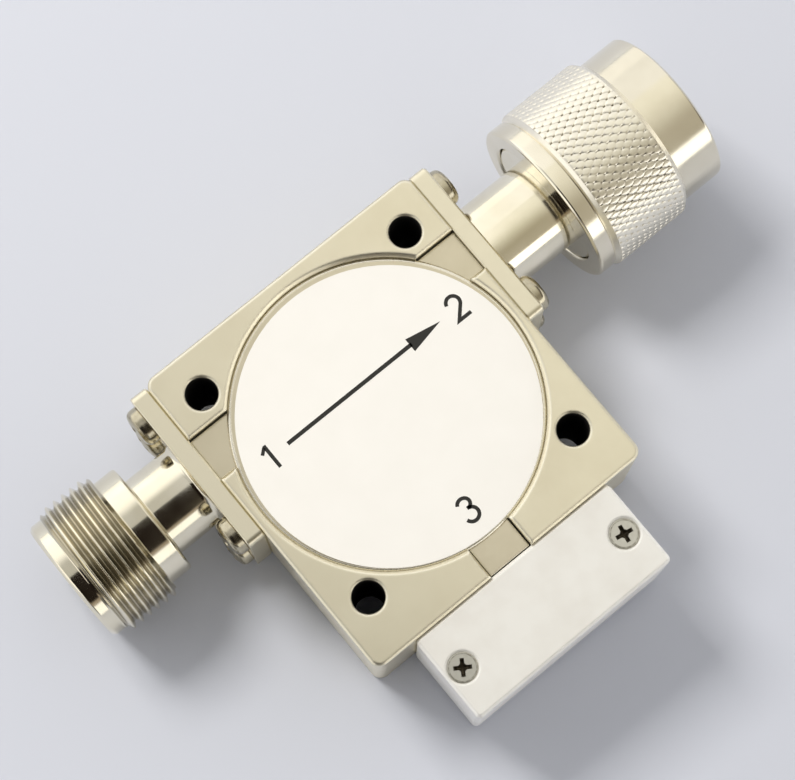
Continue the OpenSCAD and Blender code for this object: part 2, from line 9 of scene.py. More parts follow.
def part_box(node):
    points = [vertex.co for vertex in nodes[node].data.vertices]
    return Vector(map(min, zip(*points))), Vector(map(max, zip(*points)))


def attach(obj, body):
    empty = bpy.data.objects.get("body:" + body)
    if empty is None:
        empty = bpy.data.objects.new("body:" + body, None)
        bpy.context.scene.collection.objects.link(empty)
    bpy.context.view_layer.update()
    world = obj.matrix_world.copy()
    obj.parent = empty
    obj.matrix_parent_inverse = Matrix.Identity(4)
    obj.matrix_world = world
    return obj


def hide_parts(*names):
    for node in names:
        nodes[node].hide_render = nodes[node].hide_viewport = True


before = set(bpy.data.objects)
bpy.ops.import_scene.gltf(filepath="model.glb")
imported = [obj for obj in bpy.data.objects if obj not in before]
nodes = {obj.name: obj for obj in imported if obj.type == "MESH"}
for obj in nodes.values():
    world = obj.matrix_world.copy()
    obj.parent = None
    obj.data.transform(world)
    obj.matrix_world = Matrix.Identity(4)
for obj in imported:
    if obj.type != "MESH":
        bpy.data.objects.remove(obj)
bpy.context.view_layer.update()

# Housing.
# One block of soft steel, 35 x 38 x 15 mm, milled with a round cavity, a slot at each port and four clearance
# holes. It is blasted and then nickel plated, which gives a warm even satin; its broken edges are painted
# brighter as a highlight, and its bores are painted dark as shade.

bore_pitch, bore_r = 27.0, 1.7
cloud_size, speck_size, hair_width, hair_run = 9, 0.5, 0.35, 9


def linear(colour):
    """An sRGB hex value as linear RGBA."""
    parts = [int(colour[i:i + 2], 16) / 255 for i in (1, 3, 5)]
    return [c / 12.92 if c <= 0.04045 else ((c + 0.055) / 1.055) ** 2.4 for c in parts] + [1.0]


def put(finish, kind, inputs=(), **settings):
    """Adds a node with its settings. A node or a socket given as an input is linked, a node by the first
    output that it has in use, and any other value is set."""
    made = finish.node_tree.nodes.new("ShaderNode" + kind)
    for name, value in settings.items():
        setattr(made, name, value)
    for name, value in dict(inputs).items():
        if isinstance(value, bpy.types.Node):
            value = next(output for output in value.outputs if output.enabled)
        if isinstance(value, bpy.types.NodeSocket):
            finish.node_tree.links.new(value, made.inputs[name])
        else:
            made.inputs[name].default_value = value
    return made


def new_finish(name):
    """An empty node material."""
    finish = bpy.data.materials.new(name)
    finish.use_nodes = True
    finish.node_tree.nodes.clear()
    return finish


def dress(piece, finish):
    """Gives a piece or a CAD node its material."""
    piece.data.materials.clear()
    piece.data.materials.append(finish)


def reach(finish, place, middle, across):
    """How far a place is from an axis, in metres. The axis runs through middle, given in millimetres, and
    across is 1 for the two ways that count."""
    off_axis = put(finish, "VectorMath", {0: place, 1: [c / 1000 for c in middle]}, operation="SUBTRACT")
    flat = put(finish, "VectorMath", {0: off_axis, 1: across}, operation="MULTIPLY")
    return put(finish, "VectorMath", {0: flat}, operation="LENGTH")


def satin_nickel(name, light, dark, roughness, grain, grain_depth, edge_round, bores=False):
    """Nickel over a blasted face, with sizes in millimetres: broad clouds in the tone, a fine grain, a few
    hairlines, and edges that tumbling has rounded and rubbed, painted paler as a highlight so that each
    catches a line of light. Blasting leaves pits of about 0.05 mm, too fine to show, so the grain is drawn
    four times as coarse. Where asked, the walls of the four bores are painted near black, dull and not
    metallic, as shade."""
    coat = new_finish(name)
    place = put(coat, "TexCoord").outputs["Object"]
    clouds = put(coat, "TexNoise", {"Vector": place, "Scale": 1000 / cloud_size, "Detail": 3.0,
                                    "Roughness": 0.6})
    specks = put(coat, "TexNoise", {"Vector": place, "Scale": 1000 / speck_size, "Detail": 2.0})
    fine = put(coat, "TexNoise", {"Vector": place, "Scale": 1000 / grain, "Detail": 2.0, "Roughness": 0.6})
    drawn = put(coat, "Mapping", {"Vector": place, "Rotation": (0, 0, 0.6), "Scale": (1 / hair_run, 1, 1)})
    hairs = put(coat, "TexNoise", {"Vector": drawn, "Scale": 1000 / hair_width, "Detail": 1.0})
    tone = put(coat, "MapRange", {"Value": clouds, "From Min": 0.3, "From Max": 0.7})
    colour = put(coat, "Mix", {0: tone, 6: linear(dark), 7: linear(light)}, data_type="RGBA")
    marks = put(coat, "MapRange", {"Value": hairs, "From Min": 0.78, "From Max": 0.86})
    dull = put(coat, "MapRange", {"Value": specks, "From Min": 0.3, "From Max": 0.75,
                                  "To Min": roughness - 0.01, "To Max": roughness + 0.03})
    height = put(coat, "Math", {0: fine, 1: marks}, operation="SUBTRACT")
    edge = put(coat, "Bevel", {"Radius": edge_round / 1000}, samples=6)
    bump = put(coat, "Bump", {"Height": height, "Distance": grain_depth / 1000, "Normal": edge})
    facing = put(coat, "NewGeometry").outputs["True Normal"]
    turned = put(coat, "VectorMath", {0: edge, 1: facing}, operation="DOT_PRODUCT")
    # Painted highlight: the rubbed edges are also painted paler, so each shows a bright line.
    rubbed_and_highlit = put(coat, "MapRange", {"Value": turned, "From Min": 0.995, "From Max": 0.93})
    colour = put(coat, "Mix", {0: rubbed_and_highlit, 6: colour, 7: linear("#FBF6E6")}, data_type="RGBA")
    metal_share = 1.0
    if bores:
        # Painted shade: the bore walls are painted near black, dull and not metallic.
        quarter = put(coat, "VectorMath", {0: place}, operation="ABSOLUTE")
        off_bore = reach(coat, quarter, (bore_pitch / 2, bore_pitch / 2, 0), (1, 1, 0))
        inside = put(coat, "MapRange", {"Value": off_bore, "From Min": (bore_r + 0.08) / 1000,
                                        "From Max": (bore_r + 0.02) / 1000})
        colour = put(coat, "Mix", {0: inside, 6: colour, 7: linear("#14110E")}, data_type="RGBA")
        metal_share = put(coat, "Math", {0: 1.0, 1: inside}, operation="SUBTRACT")
        dull = put(coat, "Math", {0: dull, 1: inside}, operation="MAXIMUM")
    shader = put(coat, "BsdfPrincipled", {"Base Color": colour, "Metallic": metal_share, "Roughness": dull,
                                          "Normal": bump})
    put(coat, "OutputMaterial", {"Surface": shader})
    return coat


dress(nodes["housing"], satin_nickel("blasted_nickel_plate", "#E9E2CA", "#E1D9C0", roughness=0.3, grain=0.2,
                                     grain_depth=0.0004, edge_round=0.35, bores=True))

# Magnet stack.
# Ferrite magnets, soft steel pole discs, garnet discs in ceramic rings and a silver plated copper junction.
# The cover closes over them, so they show only with it off: pressed, ground and punched pieces.


def plain_solid(name, light, dark, roughness, grain, grain_depth, metallic=0.0):
    """A ground, pressed or rolled solid: two close tones and a grain, with sizes in millimetres. The real
    grain is a tenth of this or less, too fine to show, so it is drawn coarser."""
    solid = new_finish(name)
    place = put(solid, "TexCoord").outputs["Object"]
    mottle = put(solid, "TexNoise", {"Vector": place, "Scale": 1000 / (grain * 6), "Detail": 4.0})
    fine = put(solid, "TexNoise", {"Vector": place, "Scale": 1000 / grain, "Detail": 2.0})
    colour = put(solid, "Mix", {0: mottle, 6: linear(dark), 7: linear(light)}, data_type="RGBA")
    dull = put(solid, "MapRange", {"Value": mottle, "To Min": roughness - 0.06, "To Max": roughness + 0.06})
    bump = put(solid, "Bump", {"Height": fine, "Distance": grain_depth / 1000})
    shader = put(solid, "BsdfPrincipled", {"Base Color": colour, "Metallic": metallic, "Roughness": dull,
                                           "Normal": bump})
    put(solid, "OutputMaterial", {"Surface": shader})
    return solid


# The magnet is dull and near black, the ground garnet has a low shine, and the fired ceramic is off white.
magnet_ceramic = plain_solid("sintered_ferrite_magnet", "#3A3938", "#2B2A2A", roughness=0.62, grain=0.2,
                             grain_depth=0.004)
garnet = plain_solid("ground_garnet", "#35332F", "#26241F", roughness=0.4, grain=0.12, grain_depth=0.001)
ring_ceramic = plain_solid("fired_ceramic", "#EDEAE0", "#E2DECF", roughness=0.45, grain=0.2, grain_depth=0.002)
# Rolled steel is a soft grey metal, and silver plate is the palest and smoothest metal in the part.
pole_steel = plain_solid("rolled_pole_steel", "#B9B6AC", "#A29F95", roughness=0.38, grain=0.15,
                         grain_depth=0.001, metallic=1.0)
silver_copper = plain_solid("silver_plated_copper", "#E6E2D8", "#D6D0C2", roughness=0.26, grain=0.15,
                            grain_depth=0.0008, metallic=1.0)
for end in ("lower", "upper"):
    dress(nodes[f"magnet_{end}"], magnet_ceramic)
    dress(nodes[f"pole_disc_{end}"], pole_steel)
    dress(nodes[f"ferrite_{end}"], garnet)
    dress(nodes[f"dielectric_ring_{end}"], ring_ceramic)
dress(nodes["compensation_disc"], pole_steel)
dress(nodes["centre_conductor"], silver_copper)

# Cover.
# A pressed steel plate with a raised round middle and three lugs that drop into the port slots. It has the
# housing's plating over rolled sheet, so it is a shade darker and a little smoother. The press leaves the
# middle with a rounded shoulder, rubbed and painted paler as a highlight, which nearly fills the gap to the
# housing.

dress(nodes["cover"], satin_nickel("rolled_nickel_plate", "#DAD1B9", "#CEC5AC", roughness=0.3, grain=0.22,
                                   grain_depth=0.0006, edge_round=0.25))


def strips(rings, count, closed=False):
    """The faces between rings of count points each, and back to the first ring where closed."""
    return [(i * count + j, i * count + (j + 1) % count, (i + 1) % rings * count + (j + 1) % count,
             (i + 1) % rings * count + j) for i in range(rings if closed else rings - 1) for j in range(count)]


def build(name, points, faces, body, finish, sharp=30, merge=0.0):
    """A closed mesh from points in millimetres, faceted where faces meet at more than sharp degrees. Elsewhere
    the large faces set the shading, so a flat stays flat beside an eased corner."""
    mesh = bpy.data.meshes.new(name)
    mesh.from_pydata((np.asarray(points, float) / 1000).tolist(), [], [list(map(int, f)) for f in faces])
    bm = bmesh.new()
    bm.from_mesh(mesh)
    if merge:
        bmesh.ops.remove_doubles(bm, verts=bm.verts, dist=merge / 1000)
        bmesh.ops.dissolve_degenerate(bm, dist=merge / 1000, edges=bm.edges)
    bmesh.ops.recalc_face_normals(bm, faces=bm.faces)
    bm.to_mesh(mesh)
    bm.free()
    mesh.shade_smooth()
    mesh.set_sharp_from_angle(angle=math.radians(sharp))
    piece = bpy.data.objects.new(name, mesh)
    bpy.context.scene.collection.objects.link(piece)
    weighted = piece.modifiers.new("face_weighted", "WEIGHTED_NORMAL")
    weighted.keep_sharp = True
    weighted.weight = 80
    dress(piece, finish)
    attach(piece, body)
    return piece


shoulder = [(16.0, 13.6), (16.0, 14.37), (16.13, 14.39), (16.23, 14.35), (16.36, 14.25), (16.44, 14.1),
            (16.46, 13.6)]
shoulder_around = 240
angles = np.arange(shoulder_around) * 2 * math.pi / shoulder_around
points = [(r * math.cos(a), r * math.sin(a), z) for r, z in shoulder for a in angles]
# Painted highlight: the shoulder's nickel is a paler tone than the cover's.
highlit_shoulder_nickel = satin_nickel("nickel_on_shoulder_painted_pale", "#EDE9DD", "#E3DED0", roughness=0.26, grain=0.22,
                             grain_depth=0.0006, edge_round=0.1)
build("cover_shoulder", points, strips(len(shoulder), shoulder_around, closed=True), "isolator",
      highlit_shoulder_nickel, sharp=60)

# Label.
# A disc of white polyester film, stuck on the cover, with its marks screen printed in black ink.
# The marks are the signal arrow and the numbers of the three ports, each a thin layer of ink.

# The film is an even white with a low sheen, and it waves a little where the glue under it is uneven.
film = new_finish("white_polyester_film")
film_place = put(film, "TexCoord").outputs["Object"]
film_waves = put(film, "TexNoise", {"Vector": film_place, "Scale": 1000 / 3.5, "Detail": 2.0})
film_tone = put(film, "Mix", {0: film_waves, 6: linear("#F3F1ED"), 7: linear("#F8F6F3")}, data_type="RGBA")
film_bump = put(film, "Bump", {"Height": film_waves, "Distance": 0.000004})
film_shader = put(film, "BsdfPrincipled", {"Base Color": film_tone, "Roughness": 0.42, "IOR": 1.5,
                                           "Normal": film_bump})
put(film, "OutputMaterial", {"Surface": film_shader})
dress(nodes["label"], film)

# The ink is a matt warm black that the screen's mesh, 0.15 mm, leaves slightly uneven.
ink = new_finish("screen_printed_ink")
ink_place = put(ink, "TexCoord").outputs["Object"]
ink_grain = put(ink, "TexNoise", {"Vector": ink_place, "Scale": 1000 / 0.15, "Detail": 2.0})
ink_tone = put(ink, "Mix", {0: ink_grain, 6: linear("#171614"), 7: linear("#2A2926")}, data_type="RGBA")
ink_dull = put(ink, "MapRange", {"Value": ink_grain, "To Min": 0.42, "To Max": 0.6})
ink_shader = put(ink, "BsdfPrincipled", {"Base Color": ink_tone, "Roughness": ink_dull, "IOR": 1.5})
put(ink, "OutputMaterial", {"Surface": ink_shader})


def joined(*parts):
    """Several sets of points and faces as one."""
    points, faces, first = [], [], 0
    for more, more_faces in parts:
        points.append(np.asarray(more, float))
        faces += [tuple(first + i for i in face) for face in more_faces]
        first += len(more)
    return np.vstack(points), faces


def curve(middle, wide, high, start, end):
    """Points along part of an oval, from one angle to another in degrees."""
    turns = np.radians(np.arange(start, end, -15))
    return [(middle[0] + wide * math.cos(a), middle[1] + high * math.sin(a)) for a in turns]


def stroke(path, width):
    """The outline of a pen stroke of even width along a path, with square ends."""
    path = np.array(path, float)
    step = np.diff(path, axis=0)
    step /= np.linalg.norm(step, axis=1)[:, None]
    side = np.stack([-step[:, 1], step[:, 0]], 1)
    mean = np.vstack([side[:1], side[:-1] + side[1:], side[-1:]])
    mean /= (mean * np.vstack([side[:1], side])).sum(1)[:, None]
    return np.vstack([path + mean * width / 2, (path - mean * width / 2)[::-1]])


def inked(outline):
    """One flat shape of ink on the label as a thin closed plate. The two sides of a long stroke are joined by
    short faces, and any other shape is one face."""
    n = len(outline)
    levels = (label_top - 0.002, label_top + 0.012)
    points = [(x, y, z) for z in levels for x, y in outline]
    if n > 6:
        faces = [(base + i, base + i + 1, base + n - 2 - i, base + n - 1 - i)
                 for base in (0, n) for i in range(n // 2 - 1)]
    else:
        faces = [tuple(range(n)), tuple(range(n, 2 * n))]
    return points, faces + strips(2, n)


def printed(name, outlines, at=(0, 0), height=1.0):
    """A mark on the label, from outlines that are scaled to its height and moved to its place."""
    points, faces = joined(*(inked(np.array(outline, float) * height + np.array(at)) for outline in outlines))
    build(name, points, faces, "isolator", ink)


label_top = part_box("label")[1].z * 1000
tail_x, tip_x, arrow_y = -9.9, 10.3, 3.93
head_long, head_half, head_lap, shaft_half = 4.0, 0.8, 0.2, 0.22
shaft_x = tip_x - head_long + head_lap
printed("label_arrow_shaft", [[(tail_x, arrow_y - shaft_half), (shaft_x, arrow_y - shaft_half),
                               (shaft_x, arrow_y + shaft_half), (tail_x, arrow_y + shaft_half)]])
printed("label_arrow_head", [[(tip_x - head_long, arrow_y - head_half), (tip_x, arrow_y),
                              (tip_x - head_long, arrow_y + head_half)]])
digit_high, pen = 2.8, 0.14
one = [stroke([(0.34, 0.0), (0.34, 1.0)], pen), stroke([(0.08, 0.74), (0.30, 0.93)], 0.13)]
two = [stroke([*curve((0.31, 0.73), 0.27, 0.27, 170, -41), (0.06, 0.06), (0.62, 0.06)], pen)]
three = [stroke(curve((0.3, 0.75), 0.25, 0.22, 160, -91), pen),
         stroke(curve((0.3, 0.29), 0.28, 0.27, 90, -166), pen)]
printed("label_port_1", one, (-12.9, 2.53), digit_high)
printed("label_port_2", two, (11.7, 2.53), digit_high)
printed("label_port_3", three, (-0.85, -14.4), digit_high)

# Jack shell.
# The type N socket on the input side: flange, neck and shell turned from one brass bar, with a 5/8-24 thread
# cut on it. It is barrel finished and plated with bright nickel, so it mirrors the room in faint tool rings.

port_y, port_z, housing_face = 7.95, 7.5, 17.5
jack = dict(flange=2.05, neck_end=7.7, ring_end=10.3, thread_end=16.9, rim_end=18.5, shelf=9.4)
jack_r = dict(neck=4.75, ring=6.6, rim=7.15, rim_face=6.75, mouth=4.75, bore=4.05, hole=3.5)
thread_root, thread_top, thread_pitch = 7.2, 7.85, 25.4 / 24
jack_around = 192
screw_places = [(y, z) for y in (-7.4, 7.4) for z in (-4.1, 4.1)]


def off_stretch(finish, along, start, end):
    """How far a place is from the middle of a stretch, in metres, where the stretch is in millimetres."""
    off_mid = put(finish, "Math", {0: along, 1: (start + end) / 2000}, operation="SUBTRACT")
    return put(finish, "Math", {0: off_mid}, operation="ABSOLUTE")


def bright_nickel(name, light, dark, roughness, ring_pitch, ring_depth, satin, satin_tone, satin_more, darkened,
                  crest_r, shade_depths, shade_tone, shade_dulls, patchy=False, edge_round=0.0):
    """Bright nickel on turned brass: faint tool rings along X, and a satin stretch where it is blasted as the
    housing is or dulled by handling. Painted shade darkens the darkened stretch, between two depths below the
    crests, in patches where asked. Sizes are in millimetres."""
    coat = new_finish(name)
    place = put(coat, "TexCoord").outputs["Object"]
    along = put(coat, "SeparateXYZ", {0: place}).outputs["X"]
    out_by = put(coat, "Math", {0: along}, operation="ABSOLUTE")
    half = (satin[1] - satin[0]) / 2000
    on_satin = put(coat, "MapRange", {"Value": off_stretch(coat, out_by, *satin), "From Min": half + 0.00002,
                                      "From Max": half - 0.00003})
    clouds = put(coat, "TexNoise", {"Vector": place, "Scale": 1000 / 5, "Detail": 3.0})
    tone = put(coat, "MapRange", {"Value": clouds, "From Min": 0.3, "From Max": 0.7})
    colour = put(coat, "Mix", {0: tone, 6: linear(dark), 7: linear(light)}, data_type="RGBA")
    drawn = put(coat, "Mapping", {"Vector": place, "Scale": (1, 0.02, 0.02)})
    rings = put(coat, "TexNoise", {"Vector": drawn, "Scale": 1000 / ring_pitch, "Detail": 2.0})
    pits = put(coat, "TexNoise", {"Vector": place, "Scale": 1000 / 1.6, "Detail": 2.0})
    dull = put(coat, "MapRange", {"Value": pits, "From Min": 0.3, "From Max": 0.7,
                                  "To Min": roughness - 0.015, "To Max": roughness + 0.02})
    dull = put(coat, "Math", {0: on_satin, 1: satin_more, 2: dull}, operation="MULTIPLY_ADD")
    colour = put(coat, "Mix", {0: on_satin, 6: colour, 7: linear(satin_tone)}, data_type="RGBA")
    # Painted shade: a darker, duller colour below the crests on the darkened stretch.
    below = put(coat, "MapRange", {"Value": reach(coat, place, (0, port_y, port_z), (0, 1, 1)),
                                   "From Min": (crest_r - shade_depths[0]) / 1000,
                                   "From Max": (crest_r - shade_depths[1]) / 1000})
    half = abs(darkened[1] - darkened[0]) / 2000
    on_darkened = put(coat, "Math", {0: off_stretch(coat, along, *darkened), 1: half}, operation="LESS_THAN")
    painted_shade = put(coat, "Math", {0: below, 1: on_darkened}, operation="MULTIPLY")
    if patchy:
        patches = put(coat, "TexNoise", {"Vector": place, "Scale": 1000 / 3.0, "Detail": 3.0})
        used = put(coat, "MapRange", {"Value": patches, "From Min": 0.4, "From Max": 0.6, "To Min": 0.2,
                                      "To Max": 0.8})
        painted_shade = put(coat, "Math", {0: painted_shade, 1: used}, operation="MULTIPLY")
    colour = put(coat, "Mix", {0: painted_shade, 6: colour, 7: linear(shade_tone)}, data_type="RGBA")
    dull = put(coat, "Math", {0: painted_shade, 1: shade_dulls, 2: dull}, operation="MULTIPLY_ADD")
    bump = put(coat, "Bump", {"Height": rings, "Distance": ring_depth / 1000})
    if edge_round:
        edge = put(coat, "Bevel", {"Radius": edge_round / 1000}, samples=6)
        coat.node_tree.links.new(edge.outputs[0], bump.inputs["Normal"])
    shader = put(coat, "BsdfPrincipled", {"Base Color": colour, "Metallic": 1.0, "Roughness": dull,
                                          "Normal": bump})
    put(coat, "OutputMaterial", {"Surface": shader})
    return coat


def on_port(side, along, radius, angle):
    """Points round a connector: along is the distance from the housing's face, in millimetres."""
    along, radius, angle = np.broadcast_arrays(along, radius, angle)
    return np.stack([side * (housing_face + along), port_y + radius * np.cos(angle),
                     port_z + radius * np.sin(angle)], -1)


def eased(outline, steps=3, hold=0.04):
    """An outline of (along, radius, easing) with each corner rounded by its easing, in millimetres. A point
    is held just off each rounding on a long side, which keeps that side flat."""
    out, n = [], len(outline)
    for i, (a, r, ease) in enumerate(outline):
        here = np.array([a, r])
        back, ahead = np.array(outline[i - 1][:2]) - here, np.array(outline[(i + 1) % n][:2]) - here
        cut = min(ease, 0.45 * np.linalg.norm(back), 0.45 * np.linalg.norm(ahead))
        if ease == 0 or i in (0, n - 1):
            out.append(here)
            continue
        start, end = here + back / np.linalg.norm(back) * cut, here + ahead / np.linalg.norm(ahead) * cut
        if np.linalg.norm(back) > 0.8:
            out.append(start + back / np.linalg.norm(back) * hold)
        for t in np.linspace(0, 1, steps + 1):
            out.append((1 - t) ** 2 * start + 2 * t * (1 - t) * here + t * t * end)
        if np.linalg.norm(ahead) > 0.8:
            out.append(end + ahead / np.linalg.norm(ahead) * hold)
    return np.array(out)


def lathe(side, chain, count):
    """A chain of (along, radius) turned round a port's axis."""
    angle = np.arange(count) * 2 * math.pi / count
    points = on_port(side, chain[:, :1], chain[:, 1:], angle[None, :]).reshape(-1, 3)
    return points, strips(len(chain), count)


def helix(side, start, end, profile, limit, count):
    """A thread between two places along a port's axis, which closes to a plain ring at each end. profile is
    (share of a pitch, radius), and limit(along, radius) is the radius that the chamfers leave of it."""
    per = len(profile)
    rows = per * (int(math.ceil((end - start) / thread_pitch)) + 2)
    share, height = np.array(profile).T
    row = np.arange(rows + 1)
    turn = np.arange(count)[None, :] / count
    along = start + thread_pitch * (row[:, None] // per - 1 + share[row % per][:, None] + turn)
    along = np.clip(along, start, end)
    radius = limit(along, height[row % per][:, None])
    points = on_port(side, along, radius, np.arange(count) * 2 * math.pi / count).reshape(-1, 3)
    faces = []
    for i in range(rows):
        for j in range(count):
            a, b = i * count + j, (i + 1) * count + j
            if j + 1 < count:
                faces.append((a, a + 1, b + 1, b))
            elif i + per + 1 <= rows:
                faces.append((a, (i + per) * count, (i + per + 1) * count, b))
    return points, faces


def flange(side, length, height, thick, round_r, back_ease, front_ease, hole_r, back_ring, front_ring):
    """A flange against the housing, with round corners, the screws' holes and its own back and front faces,
    each filled in up to the ring of points where the turned part starts."""
    corner = []
    for sy, sz, start in ((1, 1, 0), (-1, 1, 90), (-1, -1, 180), (1, -1, 270)):
        for a in np.radians(np.linspace(start, start + 90, 7)):
            corner.append((sy * (length / 2 - round_r), sz * (height / 2 - round_r), math.cos(a), math.sin(a)))
    corner = np.array(corner)
    levels = [(0, -back_ease), (back_ease, 0), (thick - front_ease, 0), (thick, -front_ease)]
    points, n, hole_around = [], len(corner), 48

    def ring(along, centre, offset):
        return [(side * (housing_face + along), port_y + y, port_z + z) for y, z in centre + offset]

    for along, grow in levels:
        points += ring(along, corner[:, :2], corner[:, 2:] * (round_r + grow))
    faces = strips(len(levels), n)
    back, front = [list(range(n))], [list(range(3 * n, 4 * n))]
    turn = np.linspace(0, 2 * math.pi, hole_around, endpoint=False)
    for y, z in screw_places:
        start = len(points)
        for along in (0, thick):
            points += ring(along, np.array([[y, z]]), hole_r * np.stack([np.cos(turn), np.sin(turn)], 1))
        faces += [tuple(start + i for i in face) for face in strips(2, hole_around)]
        back.append(list(range(start, start + hole_around)))
        front.append(list(range(start + hole_around, start + 2 * hole_around)))
    for ring_points, loops in ((back_ring, back), (front_ring, front)):
        loops.append(list(range(len(points), len(points) + len(ring_points))))
        points += [tuple(p) for p in ring_points]
    for loops in (back, front):
        bm = bmesh.new()
        made, edges = {}, []
        for loop in loops:
            for i in loop:
                made[i] = bm.verts.new(points[i])
            edges += [bm.edges.new((made[a], made[b])) for a, b in zip(loop, loop[1:] + loop[:1])]
        bm.verts.index_update()
        number = {v: i for i, v in made.items()}
        filled = bmesh.ops.triangle_fill(bm, use_beauty=True, use_dissolve=False, edges=edges)
        cover_faces = [f for f in filled["geom"] if isinstance(f, bmesh.types.BMFace)]
        faces += [tuple(number[v] for v in f.verts) for f in cover_faces]
        bm.free()
    return points, faces


def thread_limit(along, radius):
    """The jack's thread runs out in a chamfer at each end."""
    in_from_end = np.minimum(along - jack["ring_end"], jack["thread_end"] - along)
    return np.minimum(radius, thread_root + 1.15 * in_from_end)


shell = eased([
    (jack["thread_end"], thread_root, 0), (jack["thread_end"] + 0.1, jack_r["rim"], 0.08),
    (jack["rim_end"] - 0.4, jack_r["rim"], 0.1), (jack["rim_end"], jack_r["rim_face"], 0.1),
    (jack["rim_end"], jack_r["mouth"], 0.06), (jack["rim_end"] - 0.6, jack_r["bore"], 0.05),
    (jack["shelf"], jack_r["bore"], 0.05), (jack["shelf"], jack_r["hole"], 0.05), (0, jack_r["hole"], 0)])
neck = eased([
    (jack["flange"], jack_r["neck"] + 0.3, 0), (jack["flange"] + 0.35, jack_r["neck"], 0.3),
    (jack["neck_end"] - 0.1, jack_r["neck"], 0.08), (jack["neck_end"], jack_r["ring"] - 0.2, 0.1),
    (jack["neck_end"] + 0.2, jack_r["ring"], 0.1), (jack["ring_end"], jack_r["ring"], 0.06),
    (jack["ring_end"], thread_root, 0)])
thread_shape = [(0.0, 7.84), (0.06, thread_top), (0.12, 7.84), (0.2, 7.74), (0.46, 7.25), (0.54, thread_root),
                (0.62, thread_root), (0.70, 7.25), (0.93, 7.74)]
angles = np.arange(jack_around) * 2 * math.pi / jack_around
points, faces = joined(
    lathe(-1, shell, jack_around),
    helix(-1, jack["ring_end"], jack["thread_end"], thread_shape, thread_limit, jack_around),
    lathe(-1, neck, jack_around),
    flange(-1, length=19.8, height=14.6, thick=jack["flange"], round_r=0.8, back_ease=0.2, front_ease=0.1,
           hole_r=1.35, back_ring=on_port(-1, 0, jack_r["hole"], angles),
           front_ring=on_port(-1, jack["flange"], jack_r["neck"] + 0.3, angles)))
# The flanges are satin, the rest mirrors, and the thread is painted brown between its crests as shade.
connector_nickel = bright_nickel(
    "bright_nickel_on_brass", "#F0EAD8", "#E6DFC9", roughness=0.12, ring_pitch=0.09, ring_depth=0.00015,
    satin=(17.0, 19.56), satin_tone="#E8E1CA", satin_more=0.2,
    darkened=(-housing_face - jack["thread_end"] + 0.05, -housing_face - jack["ring_end"] - 0.05),
    crest_r=thread_top, shade_depths=(0.03, 0.45), shade_tone="#B8B19E", shade_dulls=0.05, edge_round=0.1)
jack_shell = build("jack_shell", points, faces, "isolator", connector_nickel, sharp=28,
                   merge=0.0005)
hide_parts("jack_body")

# Jack contact and insulator.
# The spring contact is beryllium copper, slotted into four fingers and gold plated. The insulator is turned
# PTFE. The contact sits in it, and both show only from the mouth of the jack.

# Gold plate is the only strong yellow in the part, and PTFE is a waxy white that lets a little light in.
gold = plain_solid("gold_plate_on_copper", "#F2CE7A", "#E5BC62", roughness=0.2, grain=0.1, grain_depth=0.0005,
                   metallic=1.0)
ptfe = new_finish("turned_ptfe")
ptfe_place = put(ptfe, "TexCoord").outputs["Object"]
ptfe_rings = put(ptfe, "TexNoise", {"Vector": ptfe_place, "Scale": 1000 / 0.25, "Detail": 2.0})
ptfe_tone = put(ptfe, "Mix", {0: ptfe_rings, 6: linear("#E6E5E0"), 7: linear("#F1F0EC")}, data_type="RGBA")
ptfe_bump = put(ptfe, "Bump", {"Height": ptfe_rings, "Distance": 0.000002})
ptfe_shader = put(ptfe, "BsdfPrincipled", {
    "Base Color": ptfe_tone, "Roughness": 0.45, "IOR": 1.35, "Subsurface Weight": 0.2,
    "Subsurface Radius": (0.001, 0.001, 0.001), "Subsurface Scale": 0.5, "Normal": ptfe_bump})
put(ptfe, "OutputMaterial", {"Surface": ptfe_shader})
dress(nodes["jack_contact"], gold)
dress(nodes["jack_insulator"], ptfe)

# Flange screws.
# Eight M2.5 steel pan head screws with a cross recess, four through each flange into the housing.
# Dull nickel plate, handled, with the recess painted grey as shade.


def shaded_screw(name, light, dark, painted_shade, roughness, recess_reach, ring_r):
    """Nickel plated steel, in millimetres from the crown: painted shade darkens the recess, and a darker ring
    runs inside the edge. The tool's marks on the head are drawn at 0.12 mm, three times as coarse as they are,
    to show."""
    coat = new_finish(name)
    place = put(coat, "TexCoord").outputs["Object"]
    up = put(coat, "SeparateXYZ", {0: place}).outputs["Z"]
    off_axis = reach(coat, place, (0, 0, 0), (1, 1, 0))
    mottle = put(coat, "TexNoise", {"Vector": place, "Scale": 1000 / 0.45, "Detail": 3.0})
    fine = put(coat, "TexNoise", {"Vector": place, "Scale": 1000 / 0.12, "Detail": 2.0})
    colour = put(coat, "Mix", {0: mottle, 6: linear(dark), 7: linear(light)}, data_type="RGBA")
    ring = put(coat, "MapRange", {"Value": off_stretch(coat, off_axis, ring_r, ring_r), "From Min": 0.0001,
                                  "From Max": 0.00003})
    patchy = put(coat, "MapRange", {"Value": mottle, "From Min": 0.35, "From Max": 0.6})
    ring = put(coat, "Math", {0: ring, 1: patchy}, operation="MULTIPLY")
    # Painted shade: the recess below the crown is darkened.
    sunk = put(coat, "MapRange", {"Value": up, "From Min": -0.00008, "From Max": -0.0003})
    central = put(coat, "Math", {0: off_axis, 1: recess_reach / 1000}, operation="LESS_THAN")
    darkened = put(coat, "Math", {0: sunk, 1: central}, operation="MULTIPLY")
    darkened = put(coat, "Math", {0: ring, 1: 0.6, 2: darkened}, operation="MULTIPLY_ADD", use_clamp=True)
    colour = put(coat, "Mix", {0: darkened, 6: colour, 7: linear(painted_shade)}, data_type="RGBA")
    dull = put(coat, "Math", {0: darkened, 1: 0.35, 2: roughness}, operation="MULTIPLY_ADD")
    bump = put(coat, "Bump", {"Height": fine, "Distance": 0.0000012})
    shader = put(coat, "BsdfPrincipled", {"Base Color": colour, "Metallic": 1.0, "Roughness": dull,
                                          "Normal": bump})
    put(coat, "OutputMaterial", {"Surface": shader})
    return coat


